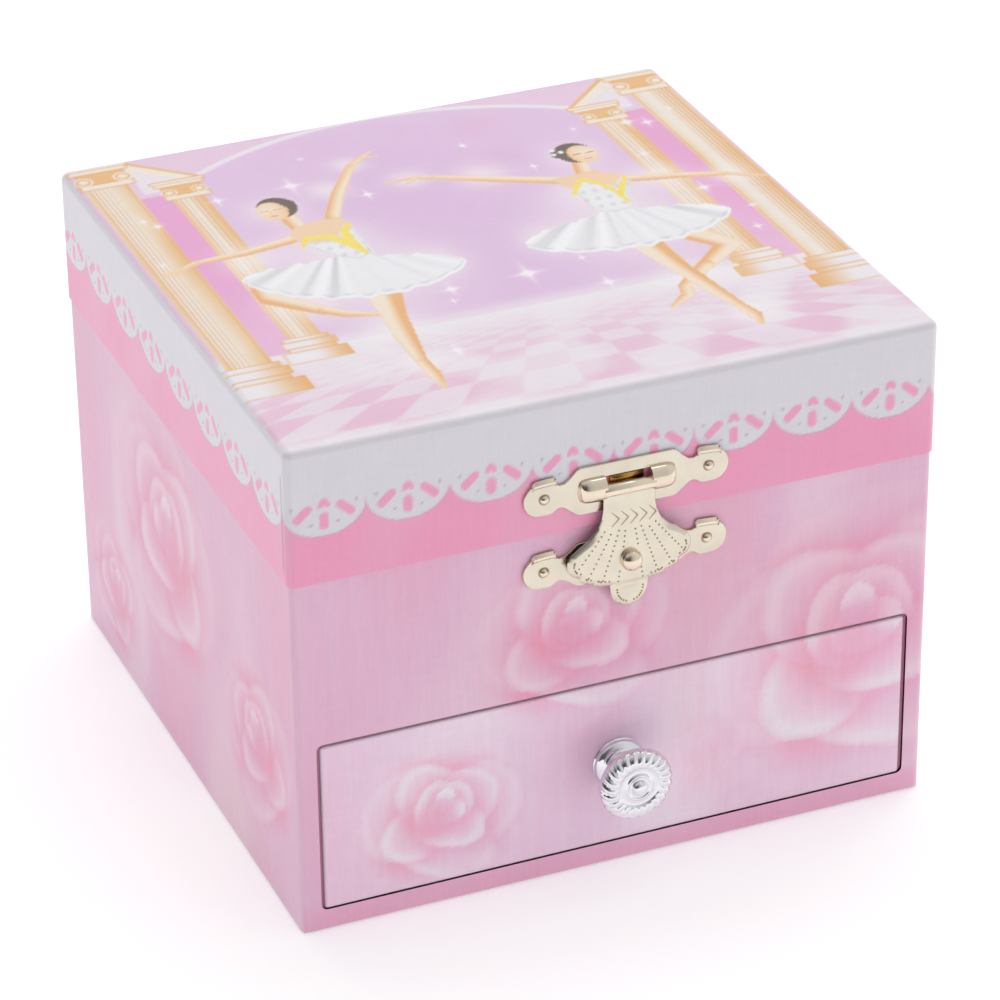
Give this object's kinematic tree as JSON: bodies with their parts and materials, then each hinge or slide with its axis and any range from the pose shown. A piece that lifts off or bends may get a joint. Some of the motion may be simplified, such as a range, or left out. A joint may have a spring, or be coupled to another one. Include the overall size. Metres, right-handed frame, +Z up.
{
  "type": "wind up music box",
  "caption": "Square paper-covered musical jewellery box with a hinged lid, a front hasp, a drawer with a round knob, a key-wound movement and a folding dancer.",
  "frame": {"origin": "centre of the case's flat underside", "axes": "+Z up, -Y towards the drawer and hasp, +Y towards the hinges and winding key, +X to the right seen from the front"},
  "size_m": [0.15, 0.1816, 0.1184],
  "materials": {
    "printed_paper": "printed pink paper with soft roses, faint linen embossing, satin varnish",
    "lid_paper": "printed paper: white scalloped lace over pink, and a stage scene on top",
    "grey_board": "dense grey board",
    "satin": "pink satin over thin foam",
    "mirror_glass": "silvered flat glass",
    "pale_brass": "stamped sheet with a pale nickel-brass plate, satin",
    "chrome": "bright plated",
    "steel": "plain steel",
    "yellow_brass": "plain brass",
    "zinc": "die-cast zinc, matt",
    "dancer_plastic": "moulded and painted",
    "tulle": "fine stiff net"
  },
  "bodies": {
    "case": {"base_board": "grey_board", "left_board": "grey_board", "right_board": "grey_board", "back_board": "grey_board", "front_board": "grey_board", "shelf_board": "grey_board", "body_wrap": "printed_paper", "bay_wall": "satin", "deck_board": "satin", "well_lining": "satin", "ring_roll_1": "satin", "ring_roll_2": "satin", "ring_roll_3": "satin", "strike_plate": "pale_brass", "strike_nail_left": "pale_brass", "strike_nail_right": "pale_brass", "hinge_case_leaf_left": "pale_brass", "hinge_case_leaf_right": "pale_brass", "hinge_pin_left": "steel", "hinge_pin_right": "steel", "bedplate": "zinc", "comb": "steel", "comb_screw_left": "steel", "comb_screw_right": "steel", "drum_bracket_left": "yellow_brass", "drum_bracket_right": "yellow_brass", "governor_frame": "yellow_brass"},
    "lid": {"lid_top_board": "grey_board", "lid_rim": "grey_board", "lid_wrap": "lid_paper", "lid_lining": "satin", "mirror": "mirror_glass", "hasp_plate": "pale_brass", "hasp_nail_left": "pale_brass", "hasp_nail_right": "pale_brass", "hasp_pin": "steel", "hinge_lid_leaf_left": "pale_brass", "hinge_lid_leaf_right": "pale_brass"},
    "hasp": {"hasp_flap": "pale_brass", "hasp_stud": "pale_brass"},
    "drawer": {"drawer_front": "printed_paper", "drawer_left": "grey_board", "drawer_right": "grey_board", "drawer_back": "grey_board", "drawer_floor": "grey_board", "drawer_liner": "satin", "drawer_knob": "chrome", "knob_screw": "steel"},
    "key": {"winding_key": "chrome", "winding_arbor": "steel"},
    "barrel": {"spring_barrel": "yellow_brass", "mainspring": "steel"},
    "drum": {"pinned_drum": "yellow_brass"},
    "fly": {"governor_fly": "steel"},
    "spindle": {"dancer_spindle": "yellow_brass"},
    "stem": {"dancer_spring": "steel"},
    "dancer": {"dancer_figure": "dancer_plastic", "dancer_skirt": "tulle"},
    "stop_lever": {"stop_lever": "steel"}
  },
  "joints": [
    {"name": "lid_hinge", "type": "hinge", "parent": "case", "child": "lid", "pos_m": [0, 0.0768, 0.0866], "axis": [-1, 0, 0], "range_deg": [0, 100]},
    {"name": "hasp_hinge", "type": "hinge", "parent": "lid", "child": "hasp", "pos_m": [0.0012, -0.0767, 0.0951], "axis": [-1, 0, 0], "range_deg": [0, 150]},
    {"name": "drawer_slide", "type": "slide", "parent": "case", "child": "drawer", "axis": [0, -1, 0], "range_m": [0, 0.115]},
    {"name": "key_turn", "type": "hinge", "parent": "case", "child": "key", "pos_m": [-0.018, 0.08, 0.068], "axis": [0, 1, 0], "continuous": true},
    {"name": "barrel_turn", "type": "hinge", "parent": "case", "child": "barrel", "pos_m": [-0.018, 0.062, 0.068], "axis": [0, 1, 0], "continuous": true},
    {"name": "drum_turn", "type": "hinge", "parent": "case", "child": "drum", "pos_m": [0.01, 0.05557, 0.068], "axis": [1, 0, 0], "continuous": true},
    {"name": "fly_turn", "type": "hinge", "parent": "case", "child": "fly", "pos_m": [0.0332, 0.04837, 0.068], "axis": [0, 0, 1], "continuous": true},
    {"name": "spindle_turn", "type": "hinge", "parent": "case", "child": "spindle", "pos_m": [0, 0.05557, 0.078], "axis": [0, 0, 1], "continuous": true},
    {"name": "dancer_fold", "type": "hinge", "parent": "case", "child": "stem", "pos_m": [0, 0.05557, 0.08705], "axis": [-1, 0, 0], "range_deg": [0, 65], "deforming": ["dancer_spring"]},
    {"name": "dancer_turn", "type": "hinge", "parent": "stem", "child": "dancer", "pos_m": [0, 0.05557, 0.08705], "axis": [0, -0.9063, 0.4226], "continuous": true},
    {"name": "stop_lever_tilt", "type": "hinge", "parent": "case", "child": "stop_lever", "pos_m": [0.044, 0.04287, 0.072], "axis": [-1, 0, 0], "range_deg": [0, 25]}
  ],
  "couplings": [
    {"joint": "drum_turn", "follows": "barrel_turn", "ratio": -3},
    {"joint": "fly_turn", "follows": "barrel_turn", "ratio": -48},
    {"joint": "spindle_turn", "follows": "barrel_turn", "ratio": -1.3333},
    {"joint": "dancer_turn", "follows": "barrel_turn", "ratio": -1.3333},
    {"joint": "dancer_fold", "follows": "lid_hinge", "ratio": 0.65},
    {"joint": "stop_lever_tilt", "follows": "lid_hinge", "ratio": 0.25}
  ]
}
